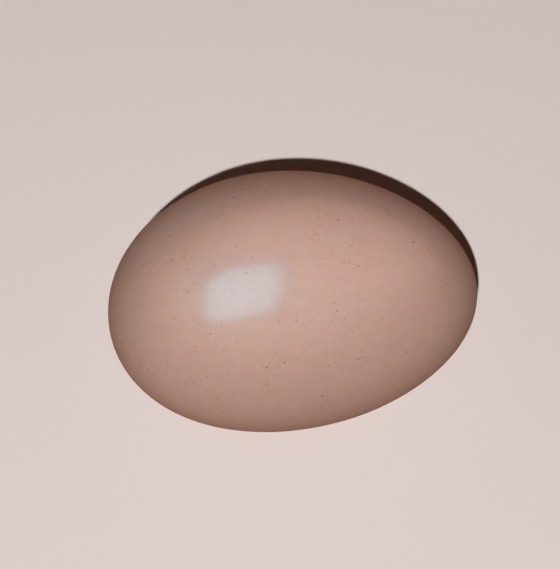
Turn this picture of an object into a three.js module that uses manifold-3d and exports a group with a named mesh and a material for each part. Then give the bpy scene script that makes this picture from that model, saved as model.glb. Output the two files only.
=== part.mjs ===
// A quail egg lying on its side. Millimetres, +Z up, +X towards the pointed end.
// The origin is the middle of the small flat spot that the egg rests on.
//
// The shell is a surface of revolution about the egg's long axis. Its outline is
// Hugelschaffer's egg curve, which needs only a length, a width and the distance
// by which the widest section lies off mid-length. The axis has the slight bow
// that a real egg has, and the egg lies at the tilt at which it balances.

import * as THREE from "three";
import { mergeVertices } from "three/addons/utils/BufferGeometryUtils.js";
import Module from "manifold-3d";

// Driving dimensions.
const LENGTH = 35.0; // tip to tip
const WIDTH = 24.75; // across the widest section
const WIDEST_OFFSET = 1.1; // from mid-length to the widest section, towards the blunt end
const AXIS_BOW = 0.45; // how far the axis arches sideways, mid-length against the tips
const FLAT_DEPTH = 0.15; // how deep the resting spot cuts into the belly

// Fineness of the faceted shell.
const STATIONS = 40; // sections from tip to tip
const FACETS = 64; // sides of each section
const BALANCE_STEPS = 2000; // slices summed to find the centre of mass
const BISECTIONS = 50;

const SHELL_COLOUR = 0xc4a092;
const SHELL_ROUGHNESS = 0.45;

// Radius of the section at a distance x from mid-length.
function sectionRadius(x) {
  const above = LENGTH ** 2 - 4 * x ** 2;
  const below = LENGTH ** 2 + 8 * WIDEST_OFFSET * x + 4 * WIDEST_OFFSET ** 2;
  return (WIDTH / 2) * Math.sqrt(Math.max(above, 0) / below);
}

// Radius times slope: how far the surface normal meets the axis beyond the section.
function normalShift(x) {
  const step = LENGTH * 1e-5;
  const ahead = sectionRadius(x + step) ** 2;
  const behind = sectionRadius(x - step) ** 2;
  return (ahead - behind) / (4 * step);
}

// Centre of mass along the axis, with the egg of one density throughout.
function massCentre() {
  let volume = 0;
  let moment = 0;
  for (let i = 0; i < BALANCE_STEPS; i += 1) {
    const x = LENGTH * ((i + 0.5) / BALANCE_STEPS - 0.5);
    const slice = sectionRadius(x) ** 2;
    volume += slice;
    moment += slice * x;
  }
  return moment / volume;
}

// The egg balances on the section whose surface normal passes through the centre of mass.
function contactStation() {
  const centre = massCentre();
  let low = -LENGTH / 4;
  let high = LENGTH / 4;
  for (let i = 0; i < BISECTIONS; i += 1) {
    const middle = (low + high) / 2;
    if (middle + normalShift(middle) < centre) low = middle;
    else high = middle;
  }
  return (low + high) / 2;
}

// Sideways offset of the axis. Its mean over the egg's volume is nil, so the centre of
// mass stays on the X axis: (2x/L)^2 averages one fifth over an ellipsoid.
function axisOffset(x) {
  const MEAN_SHARE = 0.2;
  return AXIS_BOW * (MEAN_SHARE - (2 * x / LENGTH) ** 2);
}

// The whole egg, turned about X and bowed, before it is laid down.
function turnedEgg() {
  const outline = [];
  for (let i = 0; i <= STATIONS; i += 1) {
    const x = -Math.cos((Math.PI * i) / STATIONS) * LENGTH / 2;
    const onAxis = i === 0 || i === STATIONS;
    outline.push(new THREE.Vector2(onAxis ? 0 : sectionRadius(x), x));
  }
  const geometry = new THREE.LatheGeometry(outline, FACETS);
  geometry.rotateZ(-Math.PI / 2);
  const position = geometry.getAttribute("position");
  for (let i = 0; i < position.count; i += 1) {
    position.setY(i, position.getY(i) + axisOffset(position.getX(i)));
  }
  return geometry;
}

// Laid down: pointed end dipped to the balance tilt, belly just under Z = 0, contact over the origin.
function laidDown(geometry) {
  const contact = contactStation();
  const slope = normalShift(contact) / sectionRadius(contact);
  const tilt = Math.atan(-slope);
  geometry.translate(-contact, 0, 0);
  geometry.rotateY(tilt);
  const reach = sectionRadius(contact);
  geometry.translate(
    Math.sin(tilt) * reach,
    0,
    Math.cos(tilt) * reach - FLAT_DEPTH,
  );
  return geometry;
}

function solidFrom(wasm, geometry) {
  const bare = geometry.clone();
  bare.deleteAttribute("normal");
  bare.deleteAttribute("uv");
  const merged = mergeVertices(bare);
  return new wasm.Manifold(
    new wasm.Mesh({
      numProp: 3,
      vertProperties: merged.getAttribute("position").array,
      triVerts: new Uint32Array(merged.index.array),
    }),
  );
}

function geometryFrom(solid) {
  const mesh = solid.getMesh();
  const geometry = new THREE.BufferGeometry();
  geometry.setAttribute(
    "position",
    new THREE.BufferAttribute(mesh.vertProperties, mesh.numProp),
  );
  geometry.setIndex(new THREE.BufferAttribute(mesh.triVerts, 1));
  geometry.computeVertexNormals();
  return geometry;
}

const wasm = await Module();
wasm.setup();

// A block whose top face is the surface that the egg stands on.
function groundBlock() {
  const side = 2 * LENGTH;
  return new THREE.BoxGeometry(side, side, side).translate(0, 0, -side / 2);
}

const shell = solidFrom(wasm, laidDown(turnedEgg()));
const rested = shell.subtract(solidFrom(wasm, groundBlock()));

const egg = new THREE.Mesh(
  geometryFrom(rested),
  new THREE.MeshStandardMaterial({
    color: SHELL_COLOUR,
    roughness: SHELL_ROUGHNESS,
    metalness: 0,
  }),
);
egg.name = "egg";

const quailEgg = new THREE.Group();
quailEgg.add(egg);

export default quailEgg;
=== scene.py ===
"""A quail egg lying on its side on a plain pale floor, seen from steeply above."""

import math

import bpy
from mathutils import Matrix, Vector


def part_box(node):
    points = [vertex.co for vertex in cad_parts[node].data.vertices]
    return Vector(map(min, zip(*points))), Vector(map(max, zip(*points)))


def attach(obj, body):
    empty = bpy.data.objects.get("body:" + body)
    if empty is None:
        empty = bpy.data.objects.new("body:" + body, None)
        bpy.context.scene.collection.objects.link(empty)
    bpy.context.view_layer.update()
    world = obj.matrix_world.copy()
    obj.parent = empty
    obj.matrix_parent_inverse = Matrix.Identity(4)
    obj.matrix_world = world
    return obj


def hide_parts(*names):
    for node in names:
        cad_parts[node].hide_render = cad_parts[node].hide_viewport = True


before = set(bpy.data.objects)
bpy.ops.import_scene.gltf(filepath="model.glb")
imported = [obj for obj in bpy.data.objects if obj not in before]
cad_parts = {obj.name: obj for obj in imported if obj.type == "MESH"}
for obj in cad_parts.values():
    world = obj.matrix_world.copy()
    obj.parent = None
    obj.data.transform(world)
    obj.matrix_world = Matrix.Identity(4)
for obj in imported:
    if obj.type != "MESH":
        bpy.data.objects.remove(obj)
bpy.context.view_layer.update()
bpy.ops.object.select_all(action="DESELECT")


# ---------------------------------------------------------------- eggshell
# The whole egg is one closed shell of chalk, blunt at one end and drawn in at the other, stained
# pinkish brown and peppered with freckles under a thin satin bloom. It is made from a ball of
# even squares, shaped by a cage, laid down, and flattened where it rests.

MM = 0.001
BALL_LEVELS = 7  # how often the sides of the first cube are halved
DIP = math.radians(3.0)  # how far the pointed end drops when the egg balances on its side
DRAWN_IN = 0.1257  # how much narrower the pointed half is than the blunt half, near the middle
ARCH = 0.45 * MM  # how far the middle of the axis stands to the side of its two ends
REST_DEPTH = 0.15 * MM  # thickness of the cap that is missing where the egg rests
CAGE_STATIONS = 13  # rows of cage points along the egg
CAGE_REACH = 1.3  # length of the cage over the length of the egg
NIB = 0.28 * MM  # how much further the very tip of the pointed end is drawn out
NIB_START = 0.6  # from here on, as a share of the half length
NEARLY_NOTHING = 1e-8  # how near the cutting plane a point counts as on it, in metres
SLIVER = 0.02 * MM  # edges shorter than this, left by the cut, are closed up

PINK = (0.518, 0.326, 0.268, 1)
TAN = (0.512, 0.331, 0.260, 1)
FRECKLE = (0.20, 0.095, 0.065, 1)
PALE_GRAIN = (0.72, 0.55, 0.47, 1)
DRIFT_WIDTH = 3.0 * MM  # size of the drifts of ground colour, and of those of the freckles
MOTTLE_WIDTH = 1.1 * MM
DRY_PATCH_WIDTH = 1.6 * MM
END_PAINTED_SHADE = 0.93  # painted shade: how bright the ground colour is at the two ends, against the middle, standing in for the shaded rims there

low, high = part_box("egg")
half_width = (high.y - low.y) / 2
half_extent = (high.x - low.x) / 2
half_length = math.sqrt(half_extent**2 - (half_width * math.sin(DIP)) ** 2) / math.cos(DIP)


def apply_modifier(piece, kind, **settings):
    """Gives the piece one modifier with these settings and applies it."""
    modifier = piece.modifiers.new(kind.lower(), kind)
    for setting, value in settings.items():
        setattr(modifier, setting, value)
    bpy.context.view_layer.objects.active = piece
    bpy.ops.object.modifier_apply(modifier=modifier.name)


def egg_cage():
    """Makes a lattice that draws a long ball in towards a tip at +X and arches its axis."""
    bpy.ops.object.add(type="LATTICE")
    made = bpy.context.object
    made.scale = (2 * half_length * CAGE_REACH, 2 * half_width, 2 * half_width)
    made.data.points_u = CAGE_STATIONS
    made.data.interpolation_type_v = "KEY_LINEAR"
    made.data.interpolation_type_w = "KEY_LINEAR"
    for point in made.data.points:
        along = 2 * CAGE_REACH * point.co.x  # -1 at the blunt end of the egg, 1 at the pointed end
        narrowing = 1 / math.sqrt(1 + DRAWN_IN * along + (DRAWN_IN / 2) ** 2)
        sideways = ARCH * (0.5 - along**2) / (2 * half_width)
        drawn_out = NIB * (max(along - NIB_START, 0) / (1 - NIB_START)) ** 2
        point.co_deform.x = point.co.x + drawn_out / (2 * half_length * CAGE_REACH)
        point.co_deform.y = point.co.y * narrowing + sideways
        point.co_deform.z = point.co.z * narrowing
    return made


bpy.ops.mesh.primitive_cube_add(size=2.0)
shell = bpy.context.object
shell.name = "eggshell"
apply_modifier(shell, "SUBSURF", levels=BALL_LEVELS, render_levels=BALL_LEVELS)
apply_modifier(shell, "CAST", factor=1.0, size=1.0, use_radius_as_size=False)
shell.scale = (half_length, half_width, half_width)
bpy.ops.object.transform_apply(scale=True)

cage = egg_cage()
apply_modifier(shell, "LATTICE", object=cage)
bpy.data.objects.remove(cage)

bpy.ops.object.select_all(action="DESELECT")
shell.select_set(True)
bpy.context.view_layer.objects.active = shell
shell.rotation_euler.y = DIP
bpy.ops.object.transform_apply(rotation=True)


def reach(piece, axis):
    """Returns the lowest and highest place of the piece's mesh along one axis."""
    places = [vertex.co[axis] for vertex in piece.data.vertices]
    return min(places), max(places)


left = reach(shell, 0)[0]
front, back = reach(shell, 1)
under = reach(shell, 2)[0]
shell.location.x = low.x - left
shell.location.y = (low.y + high.y - front - back) / 2
shell.location.z = low.z - REST_DEPTH - under
bpy.ops.object.transform_apply(location=True)

# A shell is never glassy: it swells and dips by hundredths of a millimetre over its whole
# length, and the chalk itself stands in soft grains under the skin.
for name, width, swing, layers in (
    ("slow swell", 8.0 * MM, 0.05 * MM, 1),
    ("soft lumps", 2.2 * MM, 0.010 * MM, 1),
    ("chalk grains", 0.7 * MM, 0.003 * MM, 2),
):
    clouds = bpy.data.textures.new(name, "CLOUDS")
    clouds.noise_scale = width
    clouds.noise_depth = layers
    apply_modifier(shell, "DISPLACE", texture=clouds, texture_coords="LOCAL", strength=swing)

# The spot that the egg rests on is cut flat, with a crisp rim.
bpy.ops.object.mode_set(mode="EDIT")
bpy.ops.mesh.select_all(action="SELECT")
bpy.ops.mesh.bisect(
    plane_co=(0, 0, low.z),
    plane_no=(0, 0, 1),
    clear_inner=True,
    use_fill=True,
    threshold=NEARLY_NOTHING,
)
bpy.ops.mesh.region_to_loop()
bpy.ops.mesh.mark_sharp()
bpy.ops.mesh.select_all(action="SELECT")
bpy.ops.mesh.remove_doubles(threshold=SLIVER)
bpy.ops.mesh.normals_make_consistent(inside=False)
bpy.ops.object.mode_set(mode="OBJECT")
bpy.ops.object.shade_smooth()


bloom = bpy.data.materials.new("eggshell bloom")
bloom.use_nodes = True
tree = bloom.node_tree  # the functions below add their nodes to the tree of this name
shader = tree.nodes["Principled BSDF"]


def add_node(kind, **settings):
    """Adds a node, with its own settings and, by socket name or number, its inputs."""
    made = tree.nodes.new("ShaderNode" + kind)
    inputs = settings.pop("inputs", {})
    for setting, value in settings.items():
        setattr(made, setting, value)
    for socket, value in inputs.items():
        if isinstance(value, bpy.types.NodeSocket):
            tree.links.new(value, made.inputs[socket])
        else:
            made.inputs[socket].default_value = value
    return made


def calculate(operation, first, second=0.0, third=0.0):
    """Returns the result of one sum on up to three numbers or sockets."""
    return add_node("Math", operation=operation, inputs={0: first, 1: second, 2: third}).outputs[0]


def remap(value, start, end, low_result=0.0, high_result=1.0):
    """Returns the value eased from one range to another."""
    limits = {0: value, 1: start, 2: end, 3: low_result, 4: high_result}
    return add_node("MapRange", interpolation_type="SMOOTHSTEP", inputs=limits).outputs[0]


def clouds_over(size, detail=2.0, roughness=0.5, offset=0.0):
    """Returns soft noise between 0 and 1 with features of about the given size."""
    shift = add_node("Mapping", inputs={"Vector": place, "Location": (offset, offset / 2, -offset)})
    noise = add_node(
        "TexNoise",
        inputs={"Vector": shift.outputs[0], "Scale": 1 / size, "Detail": detail, "Roughness": roughness},
    )
    return noise.outputs[0]


def blend(factor, first, second):
    """Returns a mix of two colours."""
    mixed = add_node("Mix", data_type="RGBA", inputs={0: factor, 6: first, 7: second})
    return mixed.outputs[2]


def dots(spacing, radius, share, offset):
    """Returns 1 inside round dots scattered through the shell, easing to 0 at their edges.

    Each point of a loose lattice carries a dot or not, by its own chance against the share,
    and the dots differ in size.
    """
    shift = add_node("Mapping", inputs={"Vector": place, "Location": (offset, -offset, offset / 3)})
    cells = add_node("TexVoronoi", inputs={"Vector": shift.outputs[0], "Scale": 1 / spacing})
    chances = add_node("SeparateColor", inputs={0: cells.outputs["Color"]}).outputs
    wide = remap(chances[1], 0.0, 1.0, low_result=0.6, high_result=1.2)
    from_middle = calculate("DIVIDE", cells.outputs["Distance"], wide)
    rim = radius / spacing
    inside = remap(from_middle, start=rim * 1.25, end=rim * 0.6)
    chosen = calculate("LESS_THAN", chances[0], share)
    return calculate("MULTIPLY", inside, chosen)


place = add_node("TexCoord").outputs["Object"]
along_egg = add_node("SeparateXYZ", inputs={0: place}).outputs["X"]

# Ground colour: slow drifts between pink and tan, a faint finer mottle, and painted shade that darkens
# both ends.
drift = remap(clouds_over(DRIFT_WIDTH, detail=2.0), 0.35, 0.65)
ground = blend(drift, PINK, TAN)
mottle = clouds_over(MOTTLE_WIDTH, detail=3.0, roughness=0.6, offset=0.02)
shade = remap(mottle, 0.3, 0.7, low_result=0.975, high_result=1.02)
# Painted shade: the ground colour darkens towards both ends, standing in for the shaded rims at the
# tips.
blunt_end_painted_shade = remap(along_egg, low.x * 0.7, low.x, 1.0, END_PAINTED_SHADE)
pointed_end_painted_shade = remap(along_egg, high.x * 0.7, high.x, 1.0, END_PAINTED_SHADE)
shade = calculate("MULTIPLY", calculate("MULTIPLY", shade, blunt_end_painted_shade), pointed_end_painted_shade)
ground = add_node("VectorMath", operation="SCALE", inputs={0: ground, "Scale": shade}).outputs[0]

# Freckles gather in loose drifts and thin out towards the pointed end.
swarms = clouds_over(DRIFT_WIDTH, detail=2.0, offset=0.05)
gather = remap(swarms, 0.42, 0.62, low_result=0.15, high_result=1.7)
thin_out = remap(along_egg, high.x * 0.35, high.x * 0.85, low_result=1.0, high_result=0.35)
crowd = calculate("MULTIPLY", gather, thin_out)

colour = ground
for spacing, radius, share, strength, offset in (
    (0.42 * MM, 0.09 * MM, 0.80, 0.13, 0.011),
    (0.50 * MM, 0.10 * MM, 0.62, 0.20, 0.023),
    (0.66 * MM, 0.11 * MM, 0.44, 0.38, 0.037),
    (1.15 * MM, 0.115 * MM, 0.26, 0.68, 0.041),
):
    spots = dots(spacing, radius, calculate("MULTIPLY", crowd, share), offset)
    colour = blend(calculate("MULTIPLY", spots, strength), colour, FRECKLE)
for spacing, radius, share, strength, offset in (
    (0.42 * MM, 0.08 * MM, 0.60, 0.19, 0.053),
    (1.30 * MM, 0.08 * MM, 0.22, 0.34, 0.059),
):
    grains = dots(spacing, radius, share, offset)
    colour = blend(calculate("MULTIPLY", grains, strength), colour, PALE_GRAIN)
tree.links.new(colour, shader.inputs["Base Color"])

# Bloom: satin, a little drier in patches, over a skin pricked by fine pores.
patches = clouds_over(DRY_PATCH_WIDTH, detail=3.0, offset=0.07)
dryness = remap(patches, 0.3, 0.7, low_result=0.50, high_result=0.58)
tree.links.new(dryness, shader.inputs["Roughness"])
skin = clouds_over(0.28 * MM, detail=2.0, roughness=0.55, offset=0.09)
pores = dots(0.55 * MM, 0.06 * MM, 0.5, 0.061)
relief = calculate("SUBTRACT", calculate("MULTIPLY", skin, 0.5), pores)
bump = add_node("Bump", inputs={"Strength": 0.25, "Distance": 0.01 * MM, "Height": relief})
tree.links.new(bump.outputs[0], shader.inputs["Normal"])
shader.inputs["Specular IOR Level"].default_value = 0.12
shader.inputs["Subsurface Weight"].default_value = 0.08
shader.inputs["Subsurface Radius"].default_value = (1.0, 0.35, 0.2)
shader.inputs["Subsurface Scale"].default_value = 1.2 * MM
shader.inputs["Coat Weight"].default_value = 0.60
shader.inputs["Coat Roughness"].default_value = 0.18
shader.inputs["Coat IOR"].default_value = 1.45

shell.data.materials.clear()
shell.data.materials.append(bloom)
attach(shell, "root")
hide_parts("egg")


# ---------------------------------------------------------------- floor
# A plain pale sheet, matt as paper, wide enough that no view reaches its edge. Little of its
# light is thrown back on the egg, so that the flanks keep their depth. Far from the egg, where
# the lamp is weak, it glows a little, so that it looks evenly pale all over.

FLOOR_WIDTH = 6.0
PALE = (0.79, 0.70, 0.67, 1)
THROWN_BACK = (0.26, 0.13, 0.085, 1)
LAMPLIT = 0.12  # how far from the egg the lamp alone lights the floor
EVEN = 0.9  # from here outwards the floor is lit evenly
EVEN_LIGHT = 0.85  # how strongly the far floor glows

bpy.ops.mesh.primitive_plane_add(size=FLOOR_WIDTH, location=(0, 0, low.z))
floor = bpy.context.object
floor.name = "floor"
paper = bpy.data.materials.new("pale paper")
paper.use_nodes = True
tree = paper.node_tree
paper_shader = tree.nodes["Principled BSDF"]
seen = add_node("LightPath").outputs["Is Camera Ray"]
tree.links.new(blend(seen, THROWN_BACK, PALE), paper_shader.inputs["Base Color"])
spot = add_node("TexCoord").outputs["Object"]
outwards = add_node("VectorMath", operation="LENGTH", inputs={0: spot}).outputs["Value"]
evened = calculate("MULTIPLY", remap(outwards, LAMPLIT, EVEN, 0.0, EVEN_LIGHT), seen)
paper_shader.inputs["Emission Color"].default_value = PALE
tree.links.new(evened, paper_shader.inputs["Emission Strength"])
paper_shader.inputs["Roughness"].default_value = 1.0
paper_shader.inputs["Specular IOR Level"].default_value = 0.0
floor.data.materials.append(paper)


# ---------------------------------------------------------------- camera
# A long lens looks down on the egg steeply. The camera is turned a little, so that the pointed
# end lies higher in view than the blunt one.

ELEVATION = math.radians(72)
TURN = math.radians(-6.55)
DISTANCE = 225.7 * MM  # from the camera to the place it aims at
AIM_LEFT = 1.07 * MM  # how far the camera aims to the left of the egg's middle
AIM_ABOVE = 1.46 * MM  # and how far above it, as seen in the view
LENS = 150  # in millimetres

middle = (low + high) / 2
sideways = Vector((math.cos(TURN), math.sin(TURN), 0))
ahead = Vector((-math.sin(TURN), math.cos(TURN), 0))
vertical = Vector((0, 0, 1))
to_camera = math.sin(ELEVATION) * vertical - math.cos(ELEVATION) * ahead
upwards = math.cos(ELEVATION) * vertical + math.sin(ELEVATION) * ahead
aim = middle - AIM_LEFT * sideways + AIM_ABOVE * upwards

bpy.ops.object.camera_add(location=aim + DISTANCE * to_camera)
camera = bpy.context.object
camera.rotation_euler = (-to_camera).to_track_quat("-Z", "Y").to_euler()
camera.data.lens = LENS
camera.data.clip_start = 0.01
camera.data.clip_end = 20
bpy.context.scene.camera = camera


# ---------------------------------------------------------------- lamp
# One small lamp a little below and left of the camera models the egg from the front and
# throws the thin crisp shadow past its far side.

LAMP_DISTANCE = 0.42
LAMP_WIDTH = 0.007
LAMP_OFF_AXIS = 5.9
LAMP_CLOCK = -120
LAMP_WATTS = 1.64


def towards(off_axis, clock):
    """Returns a direction from the egg, both angles in degrees.

    The first is counted off the line to the camera, the second round it from the right.
    """
    across = math.cos(math.radians(clock)) * sideways + math.sin(math.radians(clock)) * upwards
    return math.cos(math.radians(off_axis)) * to_camera + math.sin(math.radians(off_axis)) * across


lamp_way = towards(LAMP_OFF_AXIS, LAMP_CLOCK)
bpy.ops.object.light_add(type="AREA", location=middle + LAMP_DISTANCE * lamp_way)
lamp = bpy.context.object
lamp.rotation_euler = lamp_way.to_track_quat("Z", "Y").to_euler()
lamp.data.shape = "DISK"
lamp.data.size = LAMP_WIDTH
lamp.data.energy = LAMP_WATTS
lamp.visible_glossy = False


# ---------------------------------------------------------------- light from below
# Broad weak lamps stand in for the light that a pale floor throws up on an egg. They shine
# through the floor from beneath: four in a ring, and one more from the near left.

REFLECTOR_DISTANCE = 0.5
REFLECTOR_WIDTH = 0.3
THROWN_UP = (1, 0.82, 0.70)

for name, off_axis, clock, watts in (
    ("from_under", 148, -90, 0.24),
    ("from_the_right", 148, 0, 0.24),
    ("from_behind", 148, 90, 0.24),
    ("from_the_left", 148, 180, 0.24),
    ("from_the_near_left", 115, -125, 0.25),
):
    way = towards(off_axis, clock)
    bpy.ops.object.light_add(type="AREA", location=middle + REFLECTOR_DISTANCE * way)
    reflector = bpy.context.object
    reflector.name = name
    reflector.rotation_euler = way.to_track_quat("Z", "Y").to_euler()
    reflector.data.shape = "DISK"
    reflector.data.size = REFLECTOR_WIDTH
    reflector.data.energy = watts
    reflector.data.color = THROWN_UP
    reflector.data.use_shadow = False
    reflector.visible_glossy = False


# ---------------------------------------------------------------- window
# A tall leaning window of cool light, up on the left. It lights nothing matt and casts no
# shadow: it shows only as a soft gloss on the bloom.

WINDOW_OFF_AXIS = 17.9
WINDOW_CLOCK = 146
WINDOW_DISTANCE = 0.5
WINDOW_WIDTH = 0.425
WINDOW_HEIGHT = 0.50
WINDOW_FLARE = 0.08  # how much taller its right side is, as a share
WINDOW_LEAN = 0.105  # how far its right side stands above its left side
WINDOW_LIGHT = 13.2
COOL = (0.33, 0.72, 0.95, 1)
FULL_LIGHT = 0.0  # how far out its light starts to fade, where 0 is its middle and 1 its sides

window_way = towards(WINDOW_OFF_AXIS, WINDOW_CLOCK)
window_right = (sideways - sideways.dot(window_way) * window_way).normalized()
window_up = window_way.cross(window_right)

bpy.ops.mesh.primitive_plane_add(size=1.0)
window = bpy.context.object
window.name = "window"
window.scale = (WINDOW_WIDTH, WINDOW_HEIGHT, 1)
bpy.ops.object.transform_apply(scale=True)
for corner in window.data.vertices:
    over_width = corner.co.x / WINDOW_WIDTH
    corner.co.y = corner.co.y * (1 + WINDOW_FLARE * over_width) + WINDOW_LEAN * over_width
window.matrix_world = Matrix((window_right, window_up, window_way)).transposed().to_4x4()
window.location = middle + WINDOW_DISTANCE * window_way
window.visible_camera = False
window.visible_diffuse = False
window.visible_shadow = False

pane = bpy.data.materials.new("window pane")
pane.use_nodes = True
tree = pane.node_tree
tree.nodes.remove(tree.nodes["Principled BSDF"])
# The light fades towards the sides, and the gloss has round corners.
across_pane = add_node("SeparateXYZ", inputs={0: add_node("TexCoord").outputs["UV"]}).outputs
far_out = 0.0
for along in across_pane[:2]:
    off_centre = calculate("MULTIPLY_ADD", along, 2.0, -1.0)
    far_out = calculate("ADD", calculate("POWER", calculate("ABSOLUTE", off_centre), 4.0), far_out)
pane_light = calculate("MULTIPLY", remap(far_out, 1.0, FULL_LIGHT), WINDOW_LIGHT)
shining = add_node("Emission", inputs={"Color": COOL, "Strength": pane_light})
tree.links.new(shining.outputs[0], tree.nodes["Material Output"].inputs["Surface"])
window.data.materials.append(pane)


# ---------------------------------------------------------------- room
# Hardly any light comes from around, and it is warm. Gloss alone sees a broad pale sky, warmer
# towards the floor, with a glow up on the far right.

AMBIENT = (1.0, 0.5, 0.3, 1)
AMBIENT_LIGHT = 0.012
LOW_SKY = (1.0, 0.3, 0.12, 1)
HIGH_SKY = (1.0, 0.9, 0.85, 1)
SKY_LIGHT = 2.1
GLOW = (1.0, 0.62, 0.5, 1)
GLOW_LIGHT = 2.1
GLOW_WAY = (0.52, 0.52, 0.68)
GLOW_EDGE = 0.45  # where the glow ends, as the cosine of the angle from its middle
GLOW_FULL = 0.95  # where it is at its strongest

room = bpy.data.worlds.new("room")
room.use_nodes = True
tree = room.node_tree
room_light = tree.nodes["Background"]
looking = add_node("TexCoord").outputs["Generated"]
height_seen = add_node("SeparateXYZ", inputs={0: looking}).outputs["Z"]
towards_glow = add_node("VectorMath", operation="DOT_PRODUCT", inputs={0: looking, 1: GLOW_WAY})
in_glow = remap(towards_glow.outputs["Value"], GLOW_EDGE, GLOW_FULL)
sky = blend(remap(height_seen, 0.2, 0.8), LOW_SKY, HIGH_SKY)
sky = blend(in_glow, sky, GLOW)
sky_light = remap(height_seen, -0.1, 0.9, 0.0, SKY_LIGHT)
sky_light = calculate("MULTIPLY_ADD", in_glow, GLOW_LIGHT, sky_light)
in_gloss = add_node("LightPath").outputs["Is Glossy Ray"]
tree.links.new(blend(in_gloss, AMBIENT, sky), room_light.inputs["Color"])
brightness = add_node("Mix", data_type="FLOAT", inputs={0: in_gloss, 2: AMBIENT_LIGHT, 3: sky_light})
tree.links.new(brightness.outputs[0], room_light.inputs["Strength"])
bpy.context.scene.world = room
bpy.context.scene.view_settings.view_transform = "Standard"
